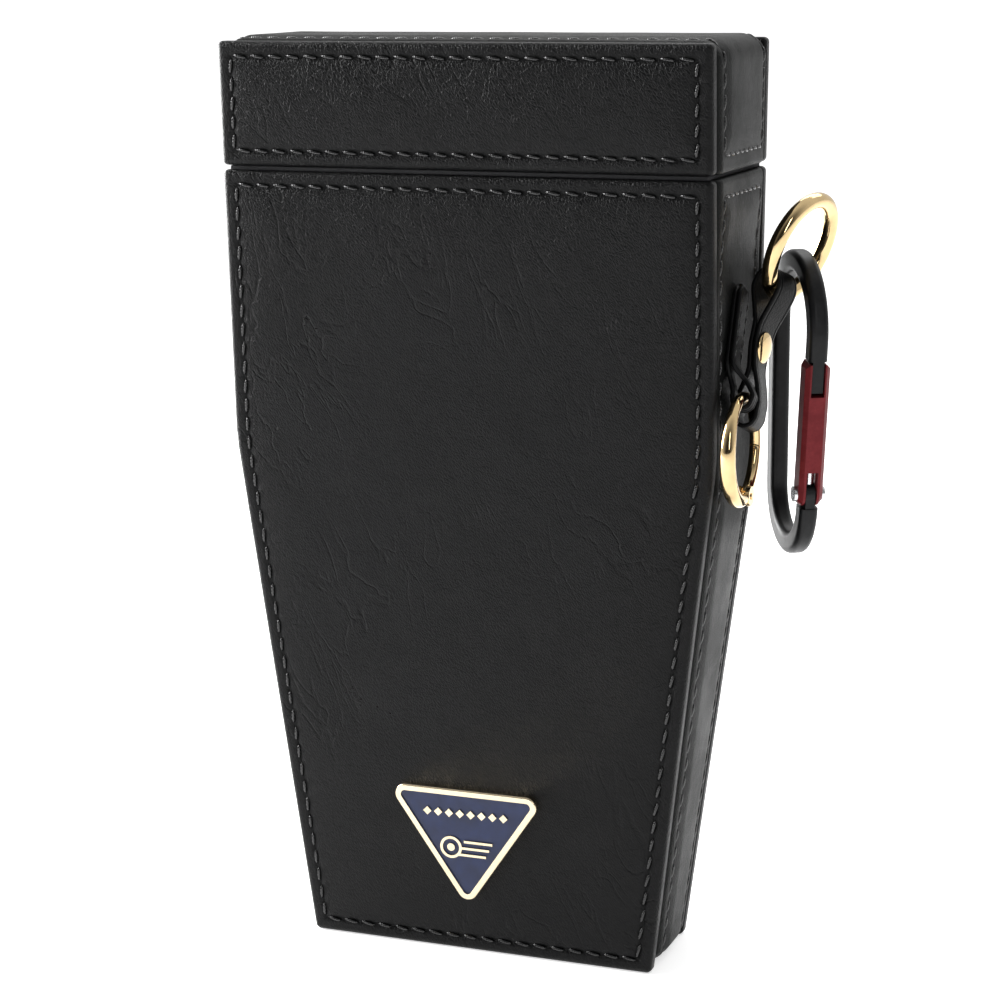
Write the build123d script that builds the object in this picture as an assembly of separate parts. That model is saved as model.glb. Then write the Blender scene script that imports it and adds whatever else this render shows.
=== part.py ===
"""Coffin-shaped hard case with a hinged lid, a side strap on two rings, and a small carabiner.

Frame: origin at the centre of the underside, +Z up, the front face towards -Y, the strap on the +X side.
All sizes are in millimetres.
"""
import os
from math import cos, radians, sin, tan

from build123d import *

# ---- case envelope ----
HEIGHT = 180.0          # overall height, lid closed
TOP_WIDTH = 98.0        # width of the straight upper part
BASE_WIDTH = 72.0       # width at the foot
BEND_Z = 103.0          # height where the sides start to taper
TOP_DEPTH = 40.0        # front to back at the top
BASE_DEPTH = 25.0       # front to back at the foot
SEAM_Z = 156.0          # height of the lid joint
SEAM_GAP = 0.8          # open groove between lid and body
# ---- wall build-up ----
PLATE = 3.0             # front and back plates: board and leather
LEATHER = 0.9           # leather over the plate boards
BAND_INSET = 0.4        # the side band lies this far inside the plate edges
BAND_LEATHER = 0.9      # leather of the side band
WALL = 2.6              # side band: leather and board together
LINING = 1.0            # fabric-covered inner liner
PLATE_CORNER = 0.9      # corner radius of the plates
LID_CORNER = 4.5        # corner radius of the lid's band
FOOT_CORNER = 2.0       # corner radius of the body's band at the foot
# ---- inside ----
COLLAR_TOP = 162.0      # the collar stands up into the lid
COLLAR_BOTTOM = 128.0
COLLAR_WALL = 1.2
RACK_Z = 92.0           # underside of the dart rack
RACK_THICK = 6.0
RACK_PITCH = 23.0
RACK_HOLE_R = 4.6
FOAM_TOP = 18.0
MAGNET_R = 2.2
MAGNET_X = 28.0
MAGNET_Z = 159.6
# ---- hinge ----
HINGE_LEATHER = 0.7
HINGE_HALF_WIDTH = 44.0
HINGE_REACH = 15.0      # how far each leaf runs from the joint
HINGE_RELIEF = 0.1      # each leaf stops this far from the hinge line
# ---- badge ----
BADGE_X = -1.3
BADGE_Z = 22.4          # height of the badge's centre
BADGE_WIDTH = 33.8      # before the corners are rounded
BADGE_DROP = 24.8       # from the top edge to the lower tip, before rounding
BADGE_CORNER = 2.2
BADGE_THICK = 2.0
BADGE_RIM = 1.25
BADGE_RECESS = 0.8
BADGE_ENAMEL = 0.45
STUD_R = 0.8
# ---- rings ----
RING_R = 9.6            # wire centreline
WIRE_R = 1.5            # wire of the upper ring, and of the lower ring where it is thickest
THIN_R = 1.05           # wire of the lower ring's upper part and gate
LOWER_RING = Vector(52.2, -8.96, 105.3)
GATE_FROM = 100.0       # lower ring's gate, degrees from the ring's top towards the back
GATE_TO = 168.0
GATE_SWEEP = 10.75      # from the pivot to the gate's free end
GATE_GAP = 0.2          # left open where the gate closes
FORK_R = 1.9
PIVOT_R = 0.6
RUNNING = 0.05          # radial running clearance
# ---- side tab ----
TAB_AT = 6.0            # where the tab's fold sits on the lower ring, degrees from its top
TAB_LEAN = 23.3         # lean of the tab towards the back
TAB_LENGTH = 21.0
TAB_FRONT = 3.6         # the strip's edges, either side of the fold's middle
TAB_REAR = 2.8
TAB_FOLD = 3.0          # width of the fold
TAB_SKIN = 0.9
TAB_HOLE_R = 1.4
# ---- strap ----
STRAP_AT = 40.0         # where the strap sits on the lower ring, degrees from its top
STRAP_YAW = 18.5        # lean of the strap towards the back
STRAP_LEAN = 5.9        # lean of the strap away from the case
STRAP_LENGTH = 21.95    # between the two rings' wires
STRAP_WIDTH = 7.0
STRAP_SKIN = 0.9
LOWER_HOLE_R = 1.6
UPPER_HOLE_R = 2.2
RIVET_CAP_R = 3.0
RIVET_POST_R = 1.2
UPPER_YAW = 25.0        # lean of the upper ring towards the back
UPPER_LEAN = 25.0       # lean of the upper ring away from the case
UPPER_TWIST = 5.0       # turn of the upper ring about its own lean line
# ---- carabiner ----
CLIP_TOP = Vector(57.48, 11.45, 140.5)
CLIP_AZIMUTH = 59.0     # the opening side points this far round from +X towards the front
CLIP_HEIGHT = 59.5
CLIP_HALF = 14.5        # half width at the top
CLIP_FOOT_R = 12.2
CLIP_BAR = 4.2          # bar width in the plane of the carabiner
CLIP_THICK = 3.6        # bar thickness
CLIP_ROUND = 1.1
GATE_PIN = (8.15, -45.7)  # hinge pin of the carabiner's gate, in its plane
GATE_HEAD = (11.78, -19.9)  # middle of the gate's upper end
GATE_WIDTH = 4.8
GATE_BAR = 4.6
NOSE_THICK = 2.2
NOSE_WIDE = 2.6
NOSE_OUT = 0.5          # the nose's middle lies this far outwards from the gate's
NOSE_DROP = 5.6
SLOT_PLAY = 0.2
TONGUE_THICK = 1.8
PIN_R = 0.8
SPRING_TURNS = 7


def half_width(z):
    """Half of the case's width at height z."""
    if z >= BEND_Z:
        return TOP_WIDTH / 2
    return (BASE_WIDTH + (TOP_WIDTH - BASE_WIDTH) * z / BEND_Z) / 2


def half_depth(z):
    """Half of the case's depth at height z."""
    return (BASE_DEPTH + (TOP_DEPTH - BASE_DEPTH) * z / HEIGHT) / 2


def outline(inset=0.0, top_r=0.0, foot_r=0.0):
    """The case's front outline, moved in by inset and with rounded upper and lower corners."""
    foot, head, waist = BASE_WIDTH / 2, TOP_WIDTH / 2, BEND_Z
    right = [(foot, 0), (head, waist), (head, HEIGHT)]
    left = [(-x, z) for x, z in reversed(right)]
    face = make_face(Polyline(*right, *left, close=True))
    if inset:
        face = offset(face, amount=-inset, kind=Kind.INTERSECTION)
    if top_r:
        face = fillet(face.vertices().group_by(Axis.Y)[-1], top_r)
    if foot_r:
        face = fillet(face.vertices().group_by(Axis.Y)[0], foot_r)
    return extrude(Plane.XZ * face, amount=TOP_DEPTH, both=True)


def depth_slab(front, back):
    """Everything between two leaning planes, front and back being distances in from the case's own faces."""
    low, high = -5.0, HEIGHT + 5.0
    points = [
        (-half_depth(low) + front, low),
        (half_depth(low) - back, low),
        (half_depth(high) - back, high),
        (-half_depth(high) + front, high),
    ]
    return extrude(Plane.YZ * make_face(Polyline(*points, close=True)), amount=TOP_WIDTH, both=True)


def front_slab(near, far):
    """The layer between two distances in from the front face."""
    return depth_slab(near, -TOP_DEPTH) - depth_slab(far, -2 * TOP_DEPTH)


def heights(low, high):
    """Everything between two heights."""
    middle = (low + high) / 2
    return Pos(0, 0, middle) * Box(3 * TOP_WIDTH, 3 * TOP_DEPTH, high - low)


BODY_ZONE = heights(-1, SEAM_Z - SEAM_GAP / 2)
LID_ZONE = heights(SEAM_Z + SEAM_GAP / 2, HEIGHT + 1)
BACK = Plane.XZ         # a front piece mirrored in this plane is the matching back piece


def front_place(x, z, out=0.0):
    """A plane on the front face at x and height z, moved outwards by out."""
    slope = (TOP_DEPTH - BASE_DEPTH) / 2 / HEIGHT
    normal = Vector(0, -1, -slope).normalized()
    origin = Vector(x, -half_depth(z), z) + normal * out
    return Plane(origin=origin, x_dir=(1, 0, 0), z_dir=normal)


def plate_layers():
    """Leather and board of the full-height front plate, before it is parted at the seam."""
    whole = outline(0, PLATE_CORNER, PLATE_CORNER) & front_slab(0, PLATE)
    return whole


def plate(zone, low, high):
    """One leather-covered plate: (leather, board)."""
    whole = plate_layers() & zone
    inner = outline(LEATHER) & front_slab(LEATHER, PLATE)
    board = inner & heights(low + LEATHER, high - LEATHER)
    return whole - board, board


def make_case_shell():
    """Plates, band and boards of the body."""
    top = SEAM_Z - SEAM_GAP / 2
    leather, board = plate(BODY_ZONE, 0, top)
    studs = badge_studs()
    nodes = {
        "front_leather": leather - studs,
        "front_board": board - studs,
        "back_leather": mirror(leather, BACK),
        "back_board": mirror(board, BACK),
    }
    between = depth_slab(PLATE, PLATE) & BODY_ZONE
    skin_out = outline(BAND_INSET, 0, FOOT_CORNER)
    skin_in = outline(BAND_INSET + BAND_LEATHER)
    wall_in = outline(BAND_INSET + WALL)
    nodes["band_leather"] = (skin_out - skin_in) & between
    boards = (skin_in - wall_in) & between
    floor_top = BAND_INSET + WALL
    nodes["bottom_board"] = boards & heights(-1, floor_top)
    sides = boards & heights(floor_top, HEIGHT)
    nodes["left_board"] = sides & Pos(-TOP_WIDTH / 2, 0, HEIGHT / 2) * Box(TOP_WIDTH, TOP_WIDTH, 2 * HEIGHT)
    nodes["right_board"] = sides & Pos(TOP_WIDTH / 2, 0, HEIGHT / 2) * Box(TOP_WIDTH, TOP_WIDTH, 2 * HEIGHT)
    return nodes


def make_lid_shell(magnets):
    """Plates, band and frame board of the lid."""
    low = SEAM_Z + SEAM_GAP / 2
    leather, board = plate(LID_ZONE, low, HEIGHT)
    between = depth_slab(PLATE, PLATE) & LID_ZONE
    skin_out = outline(BAND_INSET, LID_CORNER, 0)
    skin_in = outline(BAND_INSET + BAND_LEATHER, LID_CORNER - BAND_LEATHER, 0)
    wall_in = outline(BAND_INSET + WALL)
    return {
        "lid_front_leather": leather,
        "lid_front_board": board - magnets,
        "lid_back_leather": mirror(leather, BACK),
        "lid_back_board": mirror(board, BACK),
        "lid_band_leather": (skin_out - skin_in) & between,
        "lid_frame_board": (skin_in - wall_in) & between,
    }


def sleeve(inset, wall, floor, zone):
    """A liner that follows the inside of the case, with a floor or a roof where floor is given."""
    outer = outline(inset) & depth_slab(inset, inset) & zone
    inner = outline(inset + wall) & depth_slab(inset + wall, inset + wall) & floor
    return outer - inner


def make_inside(magnets):
    """Liners, collar, dart rack and foam."""
    wall = BAND_INSET + WALL
    core = wall + LINING
    body_top = SEAM_Z - SEAM_GAP / 2
    lid_lining = sleeve(wall, LINING, heights(COLLAR_TOP, HEIGHT - core), heights(COLLAR_TOP + 1, HEIGHT - wall))
    inside = outline(core) & depth_slab(core, core)
    rack = inside & heights(RACK_Z, RACK_Z + RACK_THICK)
    for i in (-1, 0, 1):
        rack -= Pos(i * RACK_PITCH, 0, RACK_Z) * Cylinder(RACK_HOLE_R, 4 * RACK_THICK)
    return {
        "body_lining": sleeve(wall, LINING, heights(core, HEIGHT), heights(wall, body_top)),
        "lid_lining": lid_lining,
        "neck_collar": sleeve(core, COLLAR_WALL, heights(0, HEIGHT), heights(COLLAR_BOTTOM, COLLAR_TOP)) - magnets,
        "dart_rack": rack,
        "tip_foam": inside & heights(core, FOAM_TOP),
    }


def magnet_pair(out, thick):
    """Two disc magnets set square to the front face, their outer side at out from it."""
    disc = Cylinder(MAGNET_R, thick, align=(Align.CENTER, Align.CENTER, Align.MAX))
    left, right = [front_place(x, MAGNET_Z, out) * disc for x in (-MAGNET_X, MAGNET_X)]
    return left + right


def make_hinge():
    """The two leaves of the leather hinge on the back, one on each side of the joint."""
    strip = depth_slab(-TOP_DEPTH, -HINGE_LEATHER) - depth_slab(-2 * TOP_DEPTH, 0)
    strip = strip & Box(2 * HINGE_HALF_WIDTH, 4 * TOP_DEPTH, 4 * HEIGHT)
    return {
        "hinge_leaf_body": strip & heights(SEAM_Z - HINGE_REACH, SEAM_Z - HINGE_RELIEF),
        "hinge_leaf_lid": strip & heights(SEAM_Z + HINGE_RELIEF, SEAM_Z + HINGE_REACH),
    }


def badge_shape(inset):
    """The badge's rounded triangle, point down, moved in by inset."""
    top = BADGE_DROP / 2
    points = [(-BADGE_WIDTH / 2, top), (BADGE_WIDTH / 2, top), (0, -BADGE_DROP / 2)]
    face = fillet(make_face(Polyline(*points, close=True)).vertices(), BADGE_CORNER)
    return offset(face, amount=-inset) if inset else face


def badge_studs():
    """The two studs that hold the badge, from its back into the front board."""
    stud = Cylinder(STUD_R, PLATE - 0.4, align=(Align.CENTER, Align.CENTER, Align.MAX))
    left, right = [front_place(BADGE_X + x, BADGE_Z + 4) * stud for x in (-6, 6)]
    return left + right


def make_badge():
    """Triangular badge: gilt frame, enamel field, and a row of lozenges, a target and bars in relief."""
    place = front_place(BADGE_X, BADGE_Z)
    frame = extrude(badge_shape(0), amount=BADGE_THICK)
    frame = fillet(frame.faces().sort_by(Axis.Z)[-1].edges(), 0.35)
    floor = BADGE_THICK - BADGE_RECESS
    frame -= Pos(0, 0, floor) * extrude(badge_shape(BADGE_RIM), amount=BADGE_RECESS)
    enamel = Pos(0, 0, floor) * extrude(badge_shape(BADGE_RIM), amount=BADGE_ENAMEL)
    motif = Pos(-3.2, 0.2) * (Circle(2.3) - Circle(1.75) + Circle(0.8))
    for x in range(-7, 8, 2):
        motif += Pos(x * 1.15, 7.4) * Rot(0, 0, 45) * Rectangle(1.25, 1.25)
    for step in range(3):
        motif += Pos(2.6 - 0.7 * step, 1.6 - 1.4 * step) * Rectangle(6.0, 0.5)
    motif = extrude(motif, amount=BADGE_RECESS - BADGE_ENAMEL)
    motif = Pos(0, 0, floor + BADGE_ENAMEL) * motif
    return {
        "badge_frame": place * frame,
        "badge_enamel": place * enamel,
        "badge_motif": place * motif,
        "badge_studs": badge_studs(),
    }


def ring_plane(centre, up, normal):
    """A plane whose local Y runs to the ring's top and whose Z is the ring's axis."""
    return Plane(origin=centre, x_dir=up.cross(normal), z_dir=normal)


def wire_arc(start, end, radius):
    """Ring wire between two angles, in degrees from the ring's top towards local +X."""
    section = Plane(origin=(0, RING_R, 0), x_dir=(0, 1, 0), z_dir=(1, 0, 0)) * Circle(radius)
    arc = revolve(section, Axis.Z, end - start)
    return Rot(0, 0, -end) * arc


def tapered_wire(stations):
    """Ring wire lofted through (angle, wire radius) stations."""
    faces = []
    for angle, radius in stations:
        turn = radians(angle)
        spot = (RING_R * sin(turn), RING_R * cos(turn), 0)
        faces.append(Plane(origin=spot, x_dir=(0, 0, 1), z_dir=(cos(turn), -sin(turn), 0)) * Circle(radius))
    return loft(faces)


def make_lower_ring():
    """Gate ring: open wire, thick below and thin above, a gate hinged at its lower end, and the pivot pin."""
    place = ring_plane(LOWER_RING, Vector(0, 0, 1), Vector(1, 0, 0))
    turn = radians(GATE_TO)
    pivot = Pos(RING_R * sin(turn), RING_R * cos(turn), 0)
    tongue_half = 0.55
    fork_half = WIRE_R
    fork = pivot * Cylinder(FORK_R, 2 * fork_half)
    slot = pivot * Rot(0, 0, -GATE_TO) * Pos(-0.6, 0, 0) * Box(3.2 * FORK_R, 3 * FORK_R, 2 * (tongue_half + 0.15))
    stations = [(GATE_TO, 1.3), (190, 1.5), (210, WIRE_R), (240, WIRE_R), (270, WIRE_R), (290, 1.42)]
    stations += [(310, 1.22), (325, THIN_R)]
    thick = tapered_wire(stations)
    thin = wire_arc(325, GATE_FROM + 366, THIN_R) - pivot * Cylinder(GATE_SWEEP + GATE_GAP, 20)
    body = thick + thin + fork - slot - pivot * Cylinder(PIVOT_R, 20)
    shortened = GATE_TO - 14
    tail = wire_arc(shortened - 3, GATE_TO, THIN_R) & Box(60, 60, 2 * tongue_half)
    eye = pivot * Cylinder(FORK_R - 0.3, 2 * tongue_half)
    gate = wire_arc(GATE_FROM - 6, shortened, THIN_R) & pivot * Cylinder(GATE_SWEEP, 20)
    gate = gate + tail + eye - pivot * Cylinder(PIVOT_R + RUNNING, 20)
    pin = pivot * Cylinder(PIVOT_R, 2 * fork_half + 0.4)
    return {"lower_ring": place * body, "lower_ring_gate": place * gate, "lower_ring_pin": place * pin}


def tab_frame():
    """(fold's middle, direction up along the tab, direction across it towards the back)."""
    at, lean = radians(TAB_AT), radians(TAB_LEAN)
    start = LOWER_RING + Vector(0, sin(at), cos(at)) * RING_R
    return start, Vector(0, sin(lean), cos(lean)), Vector(0, cos(lean), -sin(lean))


def racetrack(radius, near, far):
    """A slot shape with its end centres at two heights on the local Y axis."""
    return make_hull((Pos(0, near) * Circle(radius) + Pos(0, far) * Circle(radius)).edges())


def make_side_tab():
    """Doubled leather tab sewn to the right side, its narrow lower fold round the ring's wire."""
    start, along, across = tab_frame()
    place = Plane(origin=start, x_dir=(1, 0, 0), z_dir=across * -1)
    wall = TOP_WIDTH / 2 - BAND_INSET - start.X
    middle = wall + TAB_SKIN
    outer = Pos(0, 0.5) * Circle(TAB_HOLE_R + TAB_SKIN) + Pos(0, -0.5) * Circle(TAB_HOLE_R + TAB_SKIN)
    waist = Pos(middle, 5.5) * Rectangle(2 * TAB_SKIN, 1.0)
    hole = racetrack(TAB_HOLE_R, -0.5, 0.5)
    fold = extrude(make_hull((outer + waist).edges()) - hole, amount=TAB_FOLD / 2, both=True)
    length = TAB_LENGTH - 5.0
    strip = Pos(middle, 5.0 + length / 2, (TAB_FRONT - TAB_REAR) / 2)
    strip = strip * Box(2 * TAB_SKIN, length, TAB_FRONT + TAB_REAR)
    strip = fillet(strip.edges().filter_by(Axis.X).group_by(Axis.Y)[-1], 2.4)
    return {"side_tab": place * (fold + strip)}


def strap_frame():
    """(strap start, direction along it, direction of its outer face, direction across it)."""
    at, yaw, lean = radians(STRAP_AT), radians(STRAP_YAW), radians(STRAP_LEAN)
    start = LOWER_RING + Vector(0, sin(at), cos(at)) * RING_R
    rise = Vector(0, sin(yaw), cos(yaw))
    out = Vector(1, 0, 0)
    along = rise * cos(lean) + out * sin(lean)
    face = out * cos(lean) - rise * sin(lean)
    across = Vector(0, cos(yaw), -sin(yaw))
    return start, along, face, across


def strap_loop(hole_r, near, far, waist, toward):
    """Outer and inner outline of one end loop: end centres near and far, closing at the waist."""
    outer_r = hole_r + STRAP_SKIN
    waist_bar = Pos(0, waist) * Rectangle(2 * STRAP_SKIN, 0.6)
    outer = make_hull((Pos(0, near) * Circle(outer_r) + Pos(0, far) * Circle(outer_r) + waist_bar).edges())
    tip = Pos(0, waist - 2.0 * toward) * Circle(0.15)
    inner = make_hull((Pos(0, near) * Circle(hole_r) + Pos(0, far) * Circle(hole_r) + tip).edges())
    return outer, inner


def make_strap():
    """Folded leather strap with a loop at each end, and the rivet through its middle."""
    start, along, face, across = strap_frame()
    place = Plane(origin=start, x_dir=face, z_dir=face.cross(along))
    half = STRAP_LENGTH / 2
    low_outer, low_inner = strap_loop(LOWER_HOLE_R, -2.45, 0.6, 7.2, 1)
    end = STRAP_LENGTH
    high_outer, high_inner = strap_loop(UPPER_HOLE_R, end + 1.0, end - 0.4, end - 7.2, -1)
    waist = Pos(0, half) * Rectangle(2 * STRAP_SKIN, STRAP_LENGTH - 13)
    profile = low_outer + high_outer + waist - low_inner - high_inner
    strap = extrude(profile, amount=STRAP_WIDTH / 2, both=True)
    across_hole = Pos(0, half, 0) * Rot(0, 90, 0)
    strap -= across_hole * Cylinder(RIVET_POST_R, 20)
    cap = Cylinder(RIVET_CAP_R, 1.0, align=(Align.CENTER, Align.CENTER, Align.MIN))
    cap = fillet(cap.faces().sort_by(Axis.Z)[-1].edges(), 0.7)
    back_cap = Cylinder(RIVET_CAP_R - 0.9, 0.4, align=(Align.CENTER, Align.CENTER, Align.MAX))
    post = Cylinder(RIVET_POST_R, 2 * STRAP_SKIN)
    rivet = post + Pos(0, 0, STRAP_SKIN) * cap + Pos(0, 0, -STRAP_SKIN) * back_cap
    return {"strap": place * strap, "strap_rivet": place * (across_hole * rivet)}


def upper_ring_frame():
    """(centre, direction to the ring's top, axis) of the upper ring."""
    start, along = strap_frame()[:2]
    yaw, lean, twist = radians(UPPER_YAW), radians(UPPER_LEAN), radians(UPPER_TWIST)
    rise, out = Vector(0, sin(yaw), cos(yaw)), Vector(1, 0, 0)
    sideways = Vector(0, cos(yaw), -sin(yaw))
    up = rise * cos(lean) + out * sin(lean)
    axis = (out * cos(lean) - rise * sin(lean)) * cos(twist) - sideways * sin(twist)
    return start + along * STRAP_LENGTH + up * RING_R, up, axis


def make_upper_ring():
    """Plain closed ring through the strap's upper loop."""
    centre, up, axis = upper_ring_frame()
    return {"upper_ring": ring_plane(centre, up, axis) * Torus(RING_R, WIRE_R)}


def clip_place():
    """The carabiner's own plane: local X towards the gate, local Y up, origin at its top."""
    turn = radians(CLIP_AZIMUTH)
    toward_gate = Vector(cos(turn), -sin(turn), 0)
    return Plane(origin=CLIP_TOP, x_dir=toward_gate, z_dir=toward_gate.cross(Vector(0, 0, 1)))


def clip_outline(inset=0.0):
    """Outline of the carabiner, wide at the top and narrower at the foot, moved in by inset."""
    crown = Pos(0, -CLIP_HALF) * Circle(CLIP_HALF - inset)
    sole = Pos(CLIP_FOOT_R - CLIP_HALF, CLIP_FOOT_R - CLIP_HEIGHT) * Circle(CLIP_FOOT_R - inset)
    return make_hull((crown + sole).edges())


def gate_place():
    """The gate's own frame in the carabiner's plane: origin at the pin, local Y up along the gate."""
    rise = Vector(GATE_HEAD[0] - GATE_PIN[0], GATE_HEAD[1] - GATE_PIN[1], 0)
    return Plane(origin=(*GATE_PIN, 0), x_dir=rise.cross(Vector(0, 0, 1)), z_dir=(0, 0, 1)), rise.length


def make_carabiner():
    """Carabiner: bent bar, sprung gate with its slots, gate pin, spring and plunger."""
    gate_frame, gate_length = gate_place()
    bar = clip_outline() - clip_outline(CLIP_BAR)
    frame = extrude(bar, amount=CLIP_THICK / 2, both=True)
    flat_edges = frame.edges().filter_by_position(Axis.Z, -CLIP_THICK / 2 - 0.01, -CLIP_THICK / 2 + 0.01)
    flat_edges += frame.edges().filter_by_position(Axis.Z, CLIP_THICK / 2 - 0.01, CLIP_THICK / 2 + 0.01)
    frame = fillet(flat_edges, CLIP_ROUND)
    shoulder = GATE_BAR / 2 + 0.35
    window_top = gate_length + 0.5
    window = Pos(0, (window_top - shoulder) / 2) * Rectangle(12, window_top + shoulder)
    frame -= gate_frame * extrude(window, amount=CLIP_THICK, both=True)
    tongue = Circle(GATE_BAR / 2 - 0.3) + Pos(0, -2.5) * Rectangle(GATE_BAR - 0.9, 5.0)
    tongue = extrude(tongue, amount=TONGUE_THICK / 2, both=True) - Cylinder(PIN_R + RUNNING, 20)
    nose_low = gate_length - NOSE_DROP
    nose = Pos(NOSE_OUT, (nose_low + window_top + 2) / 2) * Rectangle(NOSE_WIDE, window_top + 2 - nose_low)
    nose = extrude(nose, amount=NOSE_THICK / 2, both=True)
    frame = frame + gate_frame * (tongue + nose)

    blank = Pos(0, gate_length / 2) * Rectangle(GATE_BAR, gate_length) + Circle(GATE_BAR / 2)
    gate = extrude(blank, amount=GATE_WIDTH / 2, both=True)
    long_edges = gate.edges().filter_by_position(Axis.Z, -GATE_WIDTH / 2 - 0.01, -GATE_WIDTH / 2 + 0.01)
    long_edges += gate.edges().filter_by_position(Axis.Z, GATE_WIDTH / 2 - 0.01, GATE_WIDTH / 2 + 0.01)
    gate = chamfer(long_edges, 0.8)
    slot_low = gate_length - NOSE_DROP - 0.7
    slot_x = NOSE_OUT - NOSE_WIDE / 2 - 0.3
    upper_slot = Pos((slot_x + 6) / 2, slot_low + 5, 0) * Box(6 - slot_x, 10, NOSE_THICK + 2 * SLOT_PLAY)
    lower_slot = Pos(0, 0, 0) * Box(20, 9.6, TONGUE_THICK + 2 * SLOT_PLAY)
    bore = Pos(0, 4.8 + 5, 0) * Rot(90, 0, 0) * Cylinder(1.15, 10)
    pin_hole = Cylinder(PIN_R, 20)
    gate = gate - upper_slot - lower_slot - bore - pin_hole
    pin = Cylinder(PIN_R, GATE_WIDTH + 0.2)
    head = Cylinder(PIN_R + 0.7, 0.6)
    pin = pin + Pos(0, 0, GATE_WIDTH / 2 + 0.3) * head + Pos(0, 0, -GATE_WIDTH / 2 - 0.3) * head
    plunger = Pos(0, 3.75, 0) * Rot(90, 0, 0) * Cylinder(0.95, 3.3)
    coil = Helix(pitch=1.1, height=1.1 * SPRING_TURNS, radius=0.75)
    wire = sweep(Plane(origin=coil @ 0, z_dir=coil % 0) * Circle(0.16), path=coil)
    spring = Pos(0, 6.1, 0) * Rot(-90, 0, 0) * wire
    nodes = {
        "carabiner_frame": frame,
        "carabiner_gate": gate_frame * gate,
        "gate_pin": gate_frame * pin,
        "gate_plunger": gate_frame * plunger,
        "gate_spring": gate_frame * spring,
    }
    return {name: clip_place() * shape for name, shape in nodes.items()}


def make_all():
    """Every node of the case, by name."""
    lid_magnets = magnet_pair(-PLATE + 1.6, 1.6)
    body_magnets = magnet_pair(-(BAND_INSET + WALL + LINING), COLLAR_WALL)
    nodes = {}
    nodes.update(make_case_shell())
    nodes.update(make_lid_shell(lid_magnets))
    nodes.update(make_inside(body_magnets))
    nodes["lid_magnets"] = lid_magnets
    nodes["body_magnets"] = body_magnets
    nodes.update(make_hinge())
    nodes.update(make_badge())
    nodes.update(make_lower_ring())
    nodes.update(make_side_tab())
    nodes.update(make_strap())
    nodes.update(make_upper_ring())
    nodes.update(make_carabiner())
    return nodes


os.makedirs("parts", exist_ok=True)
for name, shape in make_all().items():
    export_step(shape, f"parts/{name}.step")
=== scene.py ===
"""Looks for the leather darts case: skins, stitches, hinge, strap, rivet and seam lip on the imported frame.

Metres, in the row frame: +Z up, the front face towards -Y, the strap on the +X side.
"""
import math
import random

import bmesh
import bpy
import numpy as np
from mathutils import Matrix, Vector


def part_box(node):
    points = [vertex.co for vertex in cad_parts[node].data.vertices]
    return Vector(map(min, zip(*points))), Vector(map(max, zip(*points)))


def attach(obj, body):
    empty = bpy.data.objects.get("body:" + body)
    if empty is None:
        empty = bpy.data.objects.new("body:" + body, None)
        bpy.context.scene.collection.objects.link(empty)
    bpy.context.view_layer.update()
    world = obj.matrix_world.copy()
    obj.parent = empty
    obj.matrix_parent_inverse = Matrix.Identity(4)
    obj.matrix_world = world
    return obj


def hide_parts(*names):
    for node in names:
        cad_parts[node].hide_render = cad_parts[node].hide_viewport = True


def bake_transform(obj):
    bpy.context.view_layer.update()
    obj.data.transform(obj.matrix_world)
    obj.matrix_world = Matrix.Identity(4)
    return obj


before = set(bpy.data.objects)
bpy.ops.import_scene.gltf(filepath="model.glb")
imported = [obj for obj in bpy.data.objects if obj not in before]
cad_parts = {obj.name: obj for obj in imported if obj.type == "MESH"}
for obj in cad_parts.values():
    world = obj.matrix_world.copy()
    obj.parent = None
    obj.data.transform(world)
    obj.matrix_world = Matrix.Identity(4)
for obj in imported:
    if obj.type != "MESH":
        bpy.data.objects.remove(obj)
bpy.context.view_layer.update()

MM = 0.001
# ---- sizes that repeat the part's own, in metres ----
HEIGHT, TOP_WIDTH, BASE_WIDTH, BEND_Z = 180 * MM, 98 * MM, 72 * MM, 103 * MM
TOP_DEPTH, BASE_DEPTH, SEAM_Z = 40 * MM, 25 * MM, 156 * MM
PLATE = 3 * MM
BAND_INSET = 0.4 * MM
BODY_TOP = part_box("front_leather")[1][2]
LID_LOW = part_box("lid_front_leather")[0][2]
# ---- camera ----
CAMERA_AT = Vector((0.1761, -0.4609, 0.1950))
CAMERA_YAW, CAMERA_PITCH, CAMERA_ROLL = 20.85, 12.0, -0.41
CAMERA_LENS = 91.775
# ---- stitching ----
STITCH = 3.75 * MM
THREAD_R = 0.33 * MM
THREAD_SIDES, STITCH_STEPS = 8, 8
STITCH_TILT = 0.30          # a stitch leaves its hole low and ends high, in thread radii
FRONT_SEAM_IN = 2.9 * MM    # topstitch from the plate's edge
PANEL_SEAM_IN = 3.4 * MM    # stitched panels on the band, from the plates

rng = random.Random(7)


def half_width(z):
    """Half of the case's width at height z."""
    return (TOP_WIDTH if z >= BEND_Z else BASE_WIDTH + (TOP_WIDTH - BASE_WIDTH) * z / BEND_Z) / 2


def half_depth(z):
    """Half of the case's depth at height z."""
    return (BASE_DEPTH + (TOP_DEPTH - BASE_DEPTH) * z / HEIGHT) / 2


# ---------------------------------------------------------------- materials
def nodes_of(name):
    """A new material and helpers: (material, node maker, link maker, principled shader)."""
    material = bpy.data.materials.new(name)
    material.use_nodes = True
    tree = material.node_tree
    shader = tree.nodes["Principled BSDF"]

    def make(kind, **values):
        node = tree.nodes.new(kind)
        for key, value in values.items():
            if key in node.inputs:
                node.inputs[key].default_value = value
            else:
                setattr(node, key, value)
        return node

    def link(out, into):
        tree.links.new(out, into)

    return material, make, link, shader


def ramp(make, stops):
    """A colour ramp with (position, value) stops in grey or colour."""
    node = make("ShaderNodeValToRGB")
    elements = node.color_ramp.elements
    while len(elements) < len(stops):
        elements.new(0.5)
    for element, (place, value) in zip(elements, stops):
        element.position = place
        element.color = (value, value, value, 1) if isinstance(value, (int, float)) else (*value, 1)
    return node


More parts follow.
